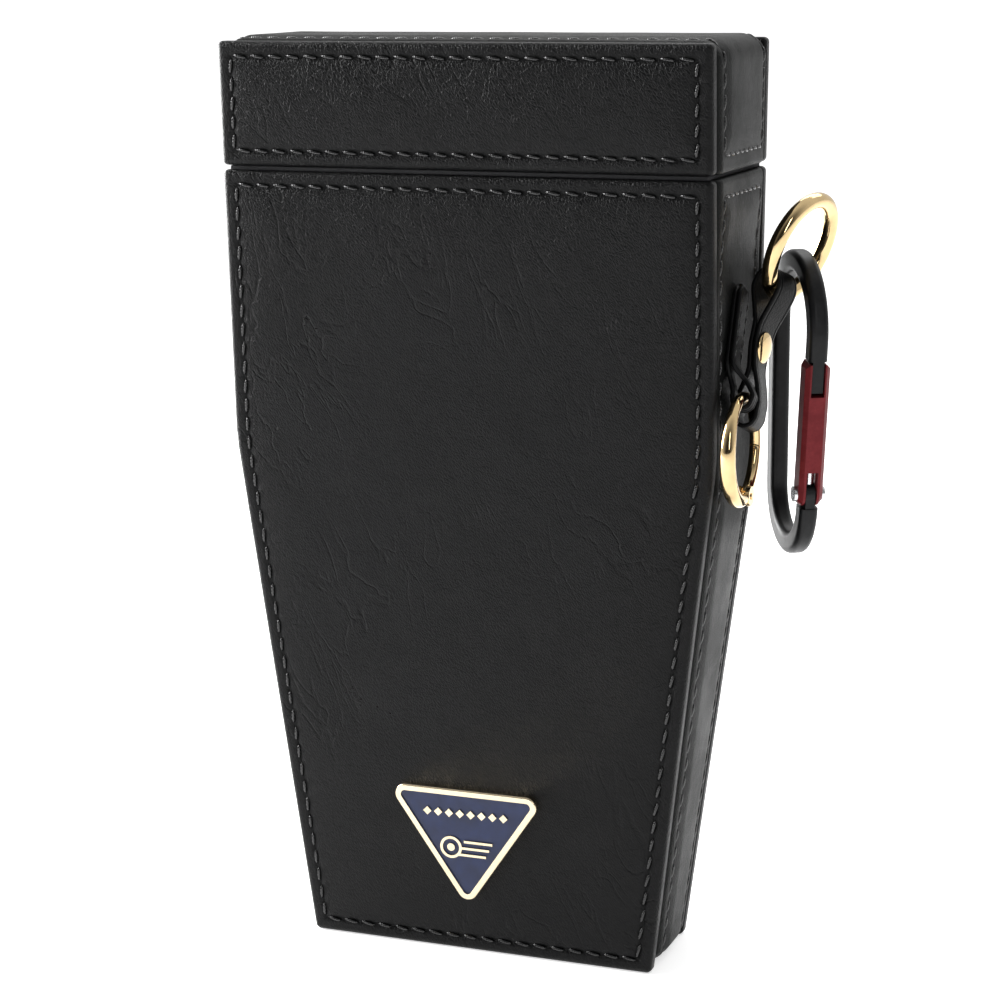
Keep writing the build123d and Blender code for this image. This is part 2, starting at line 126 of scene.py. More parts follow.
def leather(name, base, grain=1.0, crease=1.0, rough=0.34, shine=0.36):
    """Black artificial leather: slanting grain, a few long creases, uneven sheen, varied colour and painted shade
    in the grain's grooves.
    """
    material, make, link, shader = nodes_of(name)
    place = make("ShaderNodeTexCoord").outputs["Object"]

    def slanted(scale, angles):
        node = make("ShaderNodeMapping", vector_type="TEXTURE")
        node.inputs["Rotation"].default_value = angles
        node.inputs["Scale"].default_value = scale
        link(place, node.inputs["Vector"])
        return node.outputs[0]

    # slanting grain: short ridges about 0.4 mm wide and 1.2 mm long
    cells = make("ShaderNodeTexVoronoi", feature="DISTANCE_TO_EDGE", Scale=1.0)
    warp = make("ShaderNodeTexNoise", Scale=420.0, Detail=2.0)
    shifted = make("ShaderNodeVectorMath", operation="MULTIPLY_ADD")
    shifted.inputs[1].default_value = (0.9, 0.9, 0.9)
    link(place, warp.inputs["Vector"])
    link(warp.outputs["Color"], shifted.inputs[0])
    link(slanted((0.00042, 0.00042, 0.00115), (0.25, -0.62, 0.0)), shifted.inputs[2])
    link(shifted.outputs[0], cells.inputs["Vector"])
    pebble = ramp(make, [(0.0, 0.0), (0.12, 0.62), (0.45, 1.0)])
    link(cells.outputs["Distance"], pebble.inputs[0])
    fine = make("ShaderNodeTexNoise", Scale=4200.0, Detail=3.0, Roughness=0.65)
    link(place, fine.inputs["Vector"])
    # long creases where the skin was bent, only in patches
    folds = make("ShaderNodeTexNoise", Scale=1.0, Detail=3.0, Roughness=0.5, Distortion=1.2)
    link(slanted((0.010, 0.010, 0.042), (0.2, -0.5, 0.3)), folds.inputs["Vector"])
    fold_line = ramp(make, [(0.475, 0.0), (0.497, 1.0), (0.515, 0.15), (0.54, 0.0)])
    link(folds.outputs["Fac"], fold_line.inputs[0])
    patch = make("ShaderNodeTexNoise", Scale=26.0, Detail=1.0)
    link(place, patch.inputs["Vector"])
    patches = ramp(make, [(0.46, 0.0), (0.62, 1.0)])
    link(patch.outputs["Fac"], patches.inputs[0])
    lines = make("ShaderNodeMath", operation="MULTIPLY")
    link(fold_line.outputs[0], lines.inputs[0])
    link(patches.outputs[0], lines.inputs[1])
    swell = make("ShaderNodeTexNoise", Scale=70.0, Detail=3.0)
    link(place, swell.inputs["Vector"])
    last = None
    layers = [
        (pebble.outputs[0], 0.50 * grain, 0.00012, False),
        (fine.outputs["Fac"], 0.30 * grain, 0.00008, False),
        (lines.outputs[0], 0.36 * crease, 0.00022, True),
        (swell.outputs["Fac"], 0.30 * crease, 0.0011, False),
    ]
    for height, strength, distance, invert in layers:
        bump = make("ShaderNodeBump", invert=invert)
        bump.inputs["Strength"].default_value = strength
        bump.inputs["Distance"].default_value = distance
        link(height, bump.inputs["Height"])
        if last is not None:
            link(last.outputs[0], bump.inputs["Normal"])
        last = bump
    link(last.outputs[0], shader.inputs["Normal"])
    tone = ramp(make, [(0.30, tuple(0.7 * c for c in base)), (0.70, tuple(1.3 * c for c in base))])
    blotch = make("ShaderNodeTexNoise", Scale=38.0, Detail=5.0, Roughness=0.6)
    link(place, blotch.inputs["Vector"])
    link(blotch.outputs["Fac"], tone.inputs[0])
    # painted shade: the base colour is halved in the grain's grooves, along the edges of the pebble cells
    groove_shade = make("ShaderNodeMix", data_type="RGBA", blend_type="MULTIPLY")
    groove_shade.inputs[0].default_value = 0.5
    link(tone.outputs[0], groove_shade.inputs[6])
    link(pebble.outputs[0], groove_shade.inputs[7])
    link(groove_shade.outputs[2], shader.inputs["Base Color"])
    sheen = make("ShaderNodeMapRange")
    sheen.inputs["From Min"].default_value, sheen.inputs["From Max"].default_value = 0.3, 0.7
    sheen.inputs["To Min"].default_value, sheen.inputs["To Max"].default_value = rough - 0.06, rough + 0.09
    smudge = make("ShaderNodeTexNoise", Scale=90.0, Detail=6.0, Roughness=0.65)
    link(place, smudge.inputs["Vector"])
    link(smudge.outputs["Fac"], sheen.inputs["Value"])
    link(sheen.outputs[0], shader.inputs["Roughness"])
    shader.inputs["Specular IOR Level"].default_value = shine
    return material


def metal(name, colour, rough, scratch=0.25):
    """Plated or anodised metal with faint polishing marks and small dents in its gloss."""
    material, make, link, shader = nodes_of(name)
    place = make("ShaderNodeTexCoord").outputs["Object"]
    stretch = make("ShaderNodeMapping")
    stretch.inputs["Scale"].default_value = (900.0, 900.0, 130.0)
    link(place, stretch.inputs["Vector"])
    marks = make("ShaderNodeTexNoise", Scale=1.0, Detail=5.0, Roughness=0.7)
    link(stretch.outputs[0], marks.inputs["Vector"])
    uneven = make("ShaderNodeTexNoise", Scale=320.0, Detail=3.0)
    link(place, uneven.inputs["Vector"])
    gloss = make("ShaderNodeMapRange")
    gloss.inputs["To Min"].default_value, gloss.inputs["To Max"].default_value = rough * 0.75, rough * 1.35
    link(marks.outputs["Fac"], gloss.inputs["Value"])
    link(gloss.outputs[0], shader.inputs["Roughness"])
    bump = make("ShaderNodeBump", Strength=scratch * 0.25, Distance=0.00006)
    link(marks.outputs["Fac"], bump.inputs["Height"])
    soft = make("ShaderNodeBump", Strength=scratch * 0.3, Distance=0.00025)
    link(uneven.outputs["Fac"], soft.inputs["Height"])
    link(bump.outputs[0], soft.inputs["Normal"])
    link(soft.outputs[0], shader.inputs["Normal"])
    tone = ramp(make, [(0.3, tuple(0.86 * c for c in colour)), (0.7, colour)])
    link(uneven.outputs["Fac"], tone.inputs[0])
    link(tone.outputs[0], shader.inputs["Base Color"])
    shader.inputs["Metallic"].default_value = 1.0
    return material


def anodised(name, colour, rough, metallic=0.35):
    """Satin anodised or painted alloy: fine-grained, with a soft gloss and slightly paler rubbed spots."""
    material, make, link, shader = nodes_of(name)
    place = make("ShaderNodeTexCoord").outputs["Object"]
    speck = make("ShaderNodeTexNoise", Scale=4200.0, Detail=2.0)
    link(place, speck.inputs["Vector"])
    rub = make("ShaderNodeTexNoise", Scale=420.0, Detail=6.0, Roughness=0.7)
    link(place, rub.inputs["Vector"])
    bump = make("ShaderNodeBump", Strength=0.16, Distance=0.00005)
    link(speck.outputs["Fac"], bump.inputs["Height"])
    link(bump.outputs[0], shader.inputs["Normal"])
    tone = ramp(make, [(0.42, colour), (0.78, tuple(min(1, 1.5 * c + 0.006) for c in colour))])
    link(rub.outputs["Fac"], tone.inputs[0])
    link(tone.outputs[0], shader.inputs["Base Color"])
    gloss = make("ShaderNodeMapRange")
    gloss.inputs["To Min"].default_value, gloss.inputs["To Max"].default_value = rough - 0.06, rough + 0.10
    link(rub.outputs["Fac"], gloss.inputs["Value"])
    link(gloss.outputs[0], shader.inputs["Roughness"])
    shader.inputs["Metallic"].default_value = metallic
    shader.inputs["Specular IOR Level"].default_value = 0.20
    return material


def thread(name, colour):
    """Waxed twisted thread: helical ply lines and a bright soft gloss."""
    material, make, link, shader = nodes_of(name)
    place = make("ShaderNodeTexCoord").outputs["Object"]
    tilt = make("ShaderNodeMapping")
    tilt.inputs["Rotation"].default_value = (0.6, 0.6, 0.0)
    link(place, tilt.inputs["Vector"])
    ply = make("ShaderNodeTexWave", Scale=900.0, Distortion=0.6)
    link(tilt.outputs[0], ply.inputs["Vector"])
    bump = make("ShaderNodeBump", Strength=0.5, Distance=0.00008)
    link(ply.outputs["Fac"], bump.inputs["Height"])
    link(bump.outputs[0], shader.inputs["Normal"])
    tone = ramp(make, [(0.2, tuple(0.6 * c for c in colour)), (0.8, colour)])
    link(ply.outputs["Fac"], tone.inputs[0])
    link(tone.outputs[0], shader.inputs["Base Color"])
    shader.inputs["Roughness"].default_value = 0.20
    shader.inputs["Specular IOR Level"].default_value = 0.55
    return material


def enamel(name, colour):
    """Glass-like enamel with slight orange-peel and cloudy depth."""
    material, make, link, shader = nodes_of(name)
    place = make("ShaderNodeTexCoord").outputs["Object"]
    cloud = make("ShaderNodeTexNoise", Scale=260.0, Detail=4.0)
    link(place, cloud.inputs["Vector"])
    tone = ramp(make, [(0.3, tuple(0.75 * c for c in colour)), (0.75, tuple(1.25 * c for c in colour))])
    link(cloud.outputs["Fac"], tone.inputs[0])
    link(tone.outputs[0], shader.inputs["Base Color"])
    bump = make("ShaderNodeBump", Strength=0.12, Distance=0.0001)
    link(cloud.outputs["Fac"], bump.inputs["Height"])
    link(bump.outputs[0], shader.inputs["Normal"])
    shader.inputs["Roughness"].default_value = 0.18
    shader.inputs["Specular IOR Level"].default_value = 0.25
    shader.inputs["Coat Weight"].default_value = 0.2
    return material


def fibre(name, colour, scale, strength, rough):
    """Lining, foam, board or moulded plastic, by how coarse its surface is."""
    material, make, link, shader = nodes_of(name)
    place = make("ShaderNodeTexCoord").outputs["Object"]
    pile = make("ShaderNodeTexNoise", Scale=scale, Detail=5.0, Roughness=0.7)
    link(place, pile.inputs["Vector"])
    wide = make("ShaderNodeTexNoise", Scale=scale / 40, Detail=2.0)
    link(place, wide.inputs["Vector"])
    bump = make("ShaderNodeBump", Strength=strength, Distance=0.0002)
    link(pile.outputs["Fac"], bump.inputs["Height"])
    link(bump.outputs[0], shader.inputs["Normal"])
    tone = ramp(make, [(0.3, tuple(0.6 * c for c in colour)), (0.7, tuple(1.3 * c for c in colour))])
    both = make("ShaderNodeMix", data_type="FLOAT")
    both.inputs[0].default_value = 0.4
    link(pile.outputs["Fac"], both.inputs[2])
    link(wide.outputs["Fac"], both.inputs[3])
    link(both.outputs[0], tone.inputs[0])
    link(tone.outputs[0], shader.inputs["Base Color"])
    shader.inputs["Roughness"].default_value = rough
    return material


SKIN = leather("skin_leather", (0.0019, 0.0019, 0.0022), grain=1.4, crease=1.5, rough=0.33, shine=0.15)
SIDE_SKIN = leather("side_leather", (0.0040, 0.0045, 0.0042), grain=1.0, crease=0.6, rough=0.40, shine=0.08)
STRAP_SKIN = leather("strap_leather", (0.0035, 0.0035, 0.0038), grain=0.8, crease=0.3, rough=0.36, shine=0.10)
THREAD = thread("black_thread", (0.0018, 0.0018, 0.0021))
GOLD = metal("pale_gold", (0.74, 0.55, 0.29), 0.10)
BADGE_GOLD = metal("badge_gold", (0.78, 0.66, 0.46), 0.22, scratch=0.4)
STEEL = metal("bright_steel", (0.72, 0.72, 0.74), 0.22)
NAVY = enamel("navy_enamel", (0.009, 0.017, 0.062))
CLIP_BLACK = anodised("clip_black", (0.0040, 0.0042, 0.0048), 0.36, metallic=0.0)
CLIP_RED = anodised("clip_red", (0.105, 0.0060, 0.0085), 0.38, metallic=0.25)
LINING = fibre("black_lining", (0.014, 0.014, 0.016), 5200.0, 0.8, 0.85)
FOAM = fibre("closed_foam", (0.03, 0.03, 0.032), 2300.0, 1.0, 0.8)
RACK = fibre("moulded_plastic", (0.022, 0.022, 0.024), 900.0, 0.15, 0.38)
BOARD = fibre("fibre_board", (0.20, 0.15, 0.10), 1800.0, 0.7, 0.8)

NODE_MATERIALS = {
    SKIN: ["front_leather", "back_leather", "lid_front_leather", "lid_back_leather"]
    + ["band_leather", "lid_band_leather"],
    BOARD: ["front_board", "back_board", "bottom_board", "left_board", "right_board"]
    + ["lid_front_board", "lid_back_board", "lid_frame_board"],
    LINING: ["body_lining", "lid_lining", "neck_collar"],
    RACK: ["dart_rack"],
    FOAM: ["tip_foam"],
    STEEL: ["body_magnets", "lid_magnets", "gate_pin", "gate_plunger", "gate_spring"],
    GOLD: ["upper_ring", "lower_ring_gate", "lower_ring_pin", "strap_rivet", "lower_ring"],
    BADGE_GOLD: ["badge_frame", "badge_motif", "badge_studs"],
    NAVY: ["badge_enamel"],
    CLIP_BLACK: ["carabiner_frame"],
    CLIP_RED: ["carabiner_gate"],
    SIDE_SKIN: ["hinge_leaf_body", "hinge_leaf_lid"],
    STRAP_SKIN: ["side_tab", "strap"],
}
for material, names in NODE_MATERIALS.items():
    for name in names:
        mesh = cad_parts[name].data
        mesh.materials.clear()
        mesh.materials.append(material)


# ---------------------------------------------------------------- mesh helpers
def mesh_object(name, verts, faces, material, smooth=True):
    """A new mesh object in the scene."""
    mesh = bpy.data.meshes.new(name)
    mesh.from_pydata([tuple(v) for v in verts], [], faces)
    mesh.materials.append(material)
    mesh.validate()
    obj = bpy.data.objects.new(name, mesh)
    bpy.context.scene.collection.objects.link(obj)
    if smooth:
        mesh.shade_smooth()
    return obj


def tube_rings(path, radii, up, sides):
    """Vertices and faces of a closed tube along a path, with its own radius at each point."""
    verts, faces = [], []
    count = len(path)
    for i, point in enumerate(path):
        ahead = path[min(i + 1, count - 1)] - path[max(i - 1, 0)]
        ahead.normalize()
        side = ahead.cross(up).normalized()
        rise = side.cross(ahead).normalized()
        for k in range(sides):
            angle = 2 * math.pi * k / sides
            verts.append(point + side * (math.cos(angle) * radii[i]) + rise * (math.sin(angle) * radii[i]))
    for i in range(count - 1):
        for k in range(sides):
            a, b = i * sides + k, i * sides + (k + 1) % sides
            faces.append((a, b, b + sides, a + sides))
    faces.append(tuple(range(sides))[::-1])
    faces.append(tuple((count - 1) * sides + k for k in range(sides)))
    return verts, faces


def walk(points, pitch):
    """Points spaced evenly along a polyline, with the direction at each: ([(point, direction)], spacing)."""
    spans = [(b - a).length for a, b in zip(points, points[1:])]
    total = sum(spans)
    count = max(1, round(total / pitch))
    step = total / count
    out = []
    for i in range(count):
        at = (i + 0.5) * step
        for (a, b), span in zip(zip(points, points[1:]), spans):
            if at <= span:
                out.append((a.lerp(b, at / span), (b - a).normalized()))
                break
            at -= span
    return out, step


def stitch_row(points, normal, pitch=STITCH, slant=0.16, radius=THREAD_R):
    """One row of slanted stitches along a polyline on a face with that normal: (verts, faces)."""
    verts, faces = [], []
    spots, step = walk(points, pitch)
    for point, ahead in spots:
        side = ahead.cross(normal).normalized()
        turn = slant + rng.uniform(-0.04, 0.04)
        run = (ahead * math.cos(turn) + side * math.sin(turn)).normalized()
        half = step * (0.39 + rng.uniform(-0.015, 0.015))
        path, radii = [], []
        for i in range(STITCH_STEPS + 1):
            t = -1 + 2 * i / STITCH_STEPS
            dip = 1 - t * t
            lift = 1.05 * dip ** 0.5 - 0.75 + STITCH_TILT * t
            path.append(point + run * (half * t) + normal * (radius * lift))
            radii.append(radius * (0.62 + 0.38 * dip ** 0.5))
        v, f = tube_rings(path, radii, normal, THREAD_SIDES)
        base = len(verts)
        verts += v
        faces += [tuple(base + k for k in face) for face in f]
    return verts, faces


def join_rows(name, rows, body):
    """All stitch rows of one body as one object."""
    verts, faces = [], []
    for v, f in rows:
        base = len(verts)
        verts += v
        faces += [tuple(base + k for k in face) for face in f]
    obj = mesh_object(name, verts, faces, THREAD)
    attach(obj, body)
    return obj


# ---------------------------------------------------------------- leather plates
BEND_EASE = 3.5 * MM        # the sides' bend is eased over this far
EDGE_ROUND = 1.25 * MM      # leather folded round the plate's edge
PADDING = 0.55 * MM         # the plate's middle stands this far above its border
BACK_ROUND = 0.6 * MM
PLATE_POINT = 1.0 * MM      # corner radius seen from the front
PLATE_ROW, PLATE_COLUMNS = 4 * MM, 22     # mesh divisions of a plate's middle
NEAR = [0, 0.05, 0.15, 0.3, 0.5, 0.75, 1.05, 1.5, 2.1, 2.5, 2.7, 2.9, 3.1, 3.3, 3.7, 4.5, 6.0, 8.5]
NEAR = [value * MM for value in NEAR]


def eased_half_width(z):
    """Half width with the sides' bend slightly eased."""
    slope = (TOP_WIDTH - BASE_WIDTH) / 2 / BEND_Z
    past = z - BEND_Z
    if abs(past) >= BEND_EASE:
        return half_width(z)
    return TOP_WIDTH / 2 - slope * (BEND_EASE - past) ** 2 / (4 * BEND_EASE)


def smooth(low, high, value):
    """Smooth step from 0 at low to 1 at high."""
    t = min(1.0, max(0.0, (value - low) / (high - low)))
    return t * t * (3 - 2 * t)


def fold(edge, radius):
    """How far a rounded edge has dropped at that distance from it."""
    if edge >= radius:
        return 0.0
    return radius - math.sqrt(max(0.0, radius ** 2 - (radius - edge) ** 2))


def wave(x, y, z, size):
    """Slow irregular unevenness between -1 and 1."""
    a = math.sin(x / size * 2.1 + 1.3 * math.sin(z / size * 1.1 + 0.7) + y / size)
    b = math.sin(z / size * 1.7 + 1.1 * math.sin(x / size * 0.9 + 2.1) - y / size)
    return 0.5 * a + 0.5 * b


def plate_skin(name, node, side, low, high, body):
    """One leather-covered plate as a closed mesh: rounded edges, sunk stitch line, padded middle."""
    tall = high - low
    rows = [low + e for e in NEAR]
    steps = max(4, round(tall / PLATE_ROW))
    rows += [low + NEAR[-1] + (tall - 2 * NEAR[-1]) * k / steps for k in range(1, steps)]
    rows += [high - e for e in reversed(NEAR)]
    verts, faces, index = [], [], {}

    def place(x, z, depth):
        return Vector((x, side * (half_depth(z) - depth), z))

    def cell(z, col):
        """x and its distance from the nearer side edge."""
        wide = eased_half_width(z)
        last = len(NEAR) - 1
        total = 2 * last + PLATE_COLUMNS
        if col <= last:
            return -wide + NEAR[col], NEAR[col]
        if col >= total - last:
            return wide - NEAR[total - col], NEAR[total - col]
        span = wide - NEAR[-1]
        x = -span + 2 * span * (col - last) / PLATE_COLUMNS
        return x, wide - abs(x)

    columns = 2 * (len(NEAR) - 1) + PLATE_COLUMNS + 1
    for layer in (0, 1):
        for i, z in enumerate(rows):
            for j in range(columns):
                x, across = cell(z, j)
                up = min(z - low, high - z)
                zz, edge = z, min(across, up)
                if across < PLATE_POINT and up < PLATE_POINT:
                    a, b = PLATE_POINT - across, PLATE_POINT - up
                    shrink = max(a, b) / max(1e-9, math.hypot(a, b))
                    edge = PLATE_POINT - max(a, b)
                    x = math.copysign(abs(x) + across - (PLATE_POINT - a * shrink), x)
                    zz = z + (PLATE_POINT - b * shrink - up) * (1 if z - low < high - z else -1)
                if layer == 0:
                    depth = fold(edge, EDGE_ROUND)
                    depth += 0.32 * MM * math.exp(-((edge - FRONT_SEAM_IN) / (0.40 * MM)) ** 2)
                    depth -= PADDING * (1 - math.exp(-max(0.0, edge - 3.0 * MM) / (2.6 * MM)))
                    depth += 0.035 * MM * wave(x, side, z, 9 * MM) * smooth(3 * MM, 12 * MM, edge)
                else:
                    depth = PLATE + 0.05 * MM - fold(edge, BACK_ROUND)
                index[layer, i, j] = len(verts)
                verts.append(place(x, zz, depth))
    for layer in (0, 1):
        for i in range(len(rows) - 1):
            for j in range(columns - 1):
                corners = ((i, j), (i, j + 1), (i + 1, j + 1), (i + 1, j))
                quad = [index[layer, row, column] for row, column in corners]
                faces.append(tuple(quad if (layer == 0) == (side < 0) else quad[::-1]))
    border = [(0, j) for j in range(columns)] + [(i, columns - 1) for i in range(1, len(rows))]
    border += [(len(rows) - 1, j) for j in range(columns - 2, -1, -1)]
    border += [(i, 0) for i in range(len(rows) - 2, 0, -1)]
    for (i, j), (k, m) in zip(border, border[1:] + border[:1]):
        quad = (index[0, i, j], index[1, i, j], index[1, k, m], index[0, k, m])
        faces.append(quad if side < 0 else quad[::-1])
    obj = mesh_object(name, verts, faces, SKIN)
    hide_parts(node)
    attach(obj, body)
    return obj


def plate_rows(side, low, high):
    """Topstitching round a plate: four rows, each from corner to corner."""
    inset = FRONT_SEAM_IN
    normal = Vector((0, side, 0))

    def spot(x, z):
        return Vector((x, side * (half_depth(z) - 0.12 * MM), z))

    def side_line(sign):
        bend = [z for z in (BEND_Z - BEND_EASE, BEND_Z, BEND_Z + BEND_EASE) if low < z < high]
        levels = [low + inset] + bend + [high - inset]
        return [spot(sign * (eased_half_width(z) - inset), z) for z in levels]

    left, right = side_line(-1), side_line(1)
    return [
        stitch_row(left, normal),
        stitch_row(right[::-1], normal),
        stitch_row([left[-1], right[-1]], normal),
        stitch_row([left[0], right[0]], normal),
    ]


# ---------------------------------------------------------------- side bands
ACROSS = [0, 0.1, 0.3, 0.6, 1.0, 1.5, 2.0, 2.5, 2.9, 3.15, 3.4, 3.65, 4.0, 4.8, 6.2]
ACROSS = [value * MM for value in ACROSS]
BAND_MIDDLE = 8             # divisions between the two edge zones
BAND_END_ROUND = 1.0 * MM
FLANK_WIDE, FLANK_DEEP, FLANK_HIGH = 2.6 * MM, 1.8 * MM, 0.45 * MM
PANEL_RISE = 0.50 * MM
WALL_IN = 3.03 * MM         # thickness that the skin stands for
END_STATIONS = 4 * MM       # the close stations at a band's ends reach this far


def rounded_path(corners, step=2.2 * MM):
    """(point, outward normal) along a polyline of (x, z, corner radius), the outside on its right."""
    out = []
    count = len(corners)
    arcs = []
    for k, (x, z, radius) in enumerate(corners):
        here = Vector((x, z))
        if 0 < k < count - 1 and radius > 0:
            back = (Vector(corners[k - 1][:2]) - here).normalized()
            ahead = (Vector(corners[k + 1][:2]) - here).normalized()
            opening = math.acos(max(-1, min(1, back.dot(ahead))))
            reach = radius / math.tan(opening / 2)
            start, end = here + back * reach, here + ahead * reach
            centre = here + (back + ahead).normalized() * (radius / math.sin(opening / 2))
            arcs.append((start, end, centre, radius))
        else:
            arcs.append((here, here, None, 0))
    for k in range(count):
        start, end, centre, radius = arcs[k]
        if centre is not None:
            a0 = math.atan2(*(start - centre).yx)
            a1 = math.atan2(*(end - centre).yx)
            turn = (a1 - a0 + math.pi) % (2 * math.pi) - math.pi
            parts = max(4, round(abs(turn) / math.radians(9)))
            for i in range(parts + 1):
                angle = a0 + turn * i / parts
                normal = Vector((math.cos(angle), math.sin(angle)))
                out.append((centre + normal * radius, normal))
        if k < count - 1:
            begin, finish = end, arcs[k + 1][0]
            run = finish - begin
            heading = run.normalized()
            normal = Vector((heading.y, -heading.x))
            parts = max(1, round(run.length / step))
            first = 0 if centre is None else 1
            last = parts if arcs[k + 1][2] is not None else parts + 1
            for i in range(first, last):
                out.append((begin + run * (i / parts), normal))
    return out


def with_end_stations(path):
    """The path with close stations near both ends, for the rounded ends."""
    near = [0.08, 0.22, 0.45, 0.8, 1.3, 2.0, 2.8, 3.1, 3.4, 3.7]
    result = [path[0]]
    for value in near:
        heading = (path[1][0] - path[0][0]).normalized()
        result.append((path[0][0] + heading * (value * MM), path[0][1]))
    for item in path[1:-1]:
        if min((item[0] - path[0][0]).length, (item[0] - path[-1][0]).length) > END_STATIONS:
            result.append(item)
    for value in reversed(near):
        heading = (path[-2][0] - path[-1][0]).normalized()
        result.append((path[-1][0] + heading * (value * MM), path[-1][1]))
    result.append(path[-1])
    return result


def tab_hollow(x, z):
    """1 away from the side tab and 0 under it, so that the panel lies flat behind the tab."""
    if x < 0:
        return 1.0
    return 1 - math.exp(-(((z - 123 * MM) / (23 * MM)) ** 6))


def band_height(across, end, x, z, down):
    """How far the band stands out from the plates' outline."""
    away = max(0, 1 - across / FLANK_WIDE)
    flank = -FLANK_DEEP + (FLANK_DEEP + FLANK_HIGH) * math.sqrt(max(0, 1 - away ** 2))
    edge = min(across, end)
    height = flank - fold(end, BAND_END_ROUND)
    height -= 0.16 * MM * math.exp(-((edge - PANEL_SEAM_IN) / (0.3 * MM)) ** 2)
    panel = PANEL_RISE * smooth(3.5 * MM, 6.5 * MM, edge)
    flat = tab_hollow(x, z)
    height += panel * flat - (FLANK_HIGH + BAND_INSET) * (1 - flat) * smooth(0, 3 * MM, across)
    height += 0.03 * MM * wave(x, across, z, 8 * MM) * smooth(3 * MM, 6 * MM, edge)
    height -= (FLANK_HIGH + PANEL_RISE + 0.3 * MM) * max(0.0, down)
    return max(height, -WALL_IN + 0.15 * MM)


def band_skin(name, node, corners, body):
    """The stitched band between the plates, closed: (path, function for a point on it, lengths along it)."""
    path = with_end_stations(rounded_path(corners))
    lengths = [0.0]
    for (a, _), (b, _) in zip(path, path[1:]):
        lengths.append(lengths[-1] + (b - a).length)
    total = lengths[-1]

    def surface(k, across):
        """Point on the outside at station k and that distance from the front plate."""
        (x, z), (nx, nz) = path[k][0], path[k][1]
        reach = half_depth(z) - PLATE
        end = min(lengths[k], total - lengths[k])
        edge = min(across, 2 * reach - across)
        out = band_height(edge, end, x, z, -nz)
        return Vector((x + nx * out, -reach + across, z + nz * out))

    verts, faces = [], []
    stations = 2 * (len(ACROSS) - 1) + BAND_MIDDLE + 1
    for k, (spot, normal) in enumerate(path):
        wide = 2 * (half_depth(spot.y) - PLATE)
        last = len(ACROSS) - 1
        inner_wide = wide - 2 * ACROSS[-1]
        cells = ACROSS + [ACROSS[-1] + inner_wide * i / BAND_MIDDLE for i in range(1, BAND_MIDDLE)]
        cells += [wide - value for value in reversed(ACROSS)]
        verts += [surface(k, value) for value in cells]
        inner = spot - normal * WALL_IN
        verts += [Vector((inner.x, -wide / 2 + value, inner.y)) for value in cells]
    ring = 2 * stations
    for k in range(len(path) - 1):
        a, b = k * ring, (k + 1) * ring
        for j in range(stations - 1):
            faces.append((a + j, a + j + 1, b + j + 1, b + j))
            faces.append((a + stations + j, b + stations + j, b + stations + j + 1, a + stations + j + 1))
        faces.append((a, b, b + stations, a + stations))
        faces.append((a + stations - 1, a + ring - 1, b + ring - 1, b + stations - 1))
    for base, flip in ((0, False), ((len(path) - 1) * ring, True)):
        for j in range(stations - 1):
            quad = (base + j, base + stations + j, base + stations + j + 1, base + j + 1)
            faces.append(quad[::-1] if flip else quad)
    obj = mesh_object(name, verts, faces, SIDE_SKIN)
    recalculate(obj)
    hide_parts(node)
    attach(obj, body)
    return path, surface, lengths


def recalculate(obj):
    """Turns all faces outwards."""
    work = bmesh.new()
    work.from_mesh(obj.data)
    bmesh.ops.recalc_face_normals(work, faces=work.faces)
    work.to_mesh(obj.data)
    work.free()
    obj.data.shade_smooth()


def bent_rows(points, normals, pitch=STITCH):
    """Stitches along a bending line whose normal changes: one short row for each stitch."""
    rows = []
    spots, step = walk(points, pitch)
    spans = [(b - a).length for a, b in zip(points, points[1:])]
    for number, (spot, ahead) in enumerate(spots):
        at, k = (number + 0.5) * step, 0
        while k < len(spans) - 1 and at > spans[k]:
            at -= spans[k]
            k += 1
        rows.append(stitch_row([spot - ahead * step / 2, spot + ahead * step / 2], normals[k], pitch=step))
    return rows


def band_rows(path, surface, lengths):
    """The two rows along a band and the row across each end."""
    rows = []
    total = lengths[-1]
    inset = PANEL_SEAM_IN
    keep = [k for k in range(len(path)) if inset - 1e-5 <= lengths[k] <= total - inset + 1e-5]
    for back in (False, True):
        points = []
        for k in keep:
            wide = 2 * (half_depth(path[k][0].y) - PLATE)
            points.append(surface(k, wide - inset if back else inset))
        normals = [Vector((path[k][1].x, 0, path[k][1].y)) for k in keep]
        rows += bent_rows(points, normals)
    for k in (keep[0], keep[-1]):
        wide = 2 * (half_depth(path[k][0].y) - PLATE)
        line = [surface(k, inset + 0.4 * MM), surface(k, wide - inset - 0.4 * MM)]
        rows.append(stitch_row(line, Vector((path[k][1].x, 0, path[k][1].y)), pitch=3.0 * MM))
    return rows


def case_leather():
    """Plates, bands and all their stitching."""
    head, foot = TOP_WIDTH / 2, BASE_WIDTH / 2
    for label, side in (("front", -1), ("back", 1)):
        plate_skin(f"{label}_plate_skin", f"{label}_leather", side, 0.0, BODY_TOP, "case")
        plate_skin(f"lid_{label}_plate_skin", f"lid_{label}_leather", side, LID_LOW, HEIGHT, "lid")
    body_corners = [(-head, BODY_TOP + 0.03 * MM, 0), (-head, BEND_Z, 50 * MM), (-foot, 0, 3.4 * MM)]
    body_corners += [(foot, 0, 3.4 * MM), (head, BEND_Z, 50 * MM), (head, BODY_TOP + 0.03 * MM, 0)]
    lid_corners = [(head, LID_LOW - 0.03 * MM, 0), (head, HEIGHT, 3.5 * MM), (-head, HEIGHT, 3.5 * MM)]
    lid_corners += [(-head, LID_LOW - 0.03 * MM, 0)]
    body_band = band_skin("side_band_skin", "band_leather", body_corners, "case")
    lid_band = band_skin("lid_band_skin", "lid_band_leather", lid_corners, "lid")
    case_rows = plate_rows(-1, 0.0, BODY_TOP) + plate_rows(1, 0.0, BODY_TOP) + band_rows(*body_band)
    lid_rows = plate_rows(-1, LID_LOW, HEIGHT) + plate_rows(1, LID_LOW, HEIGHT) + band_rows(*lid_band)
    join_rows("case_stitching", case_rows, "case")
    join_rows("lid_stitching", lid_rows, "lid")


case_leather()


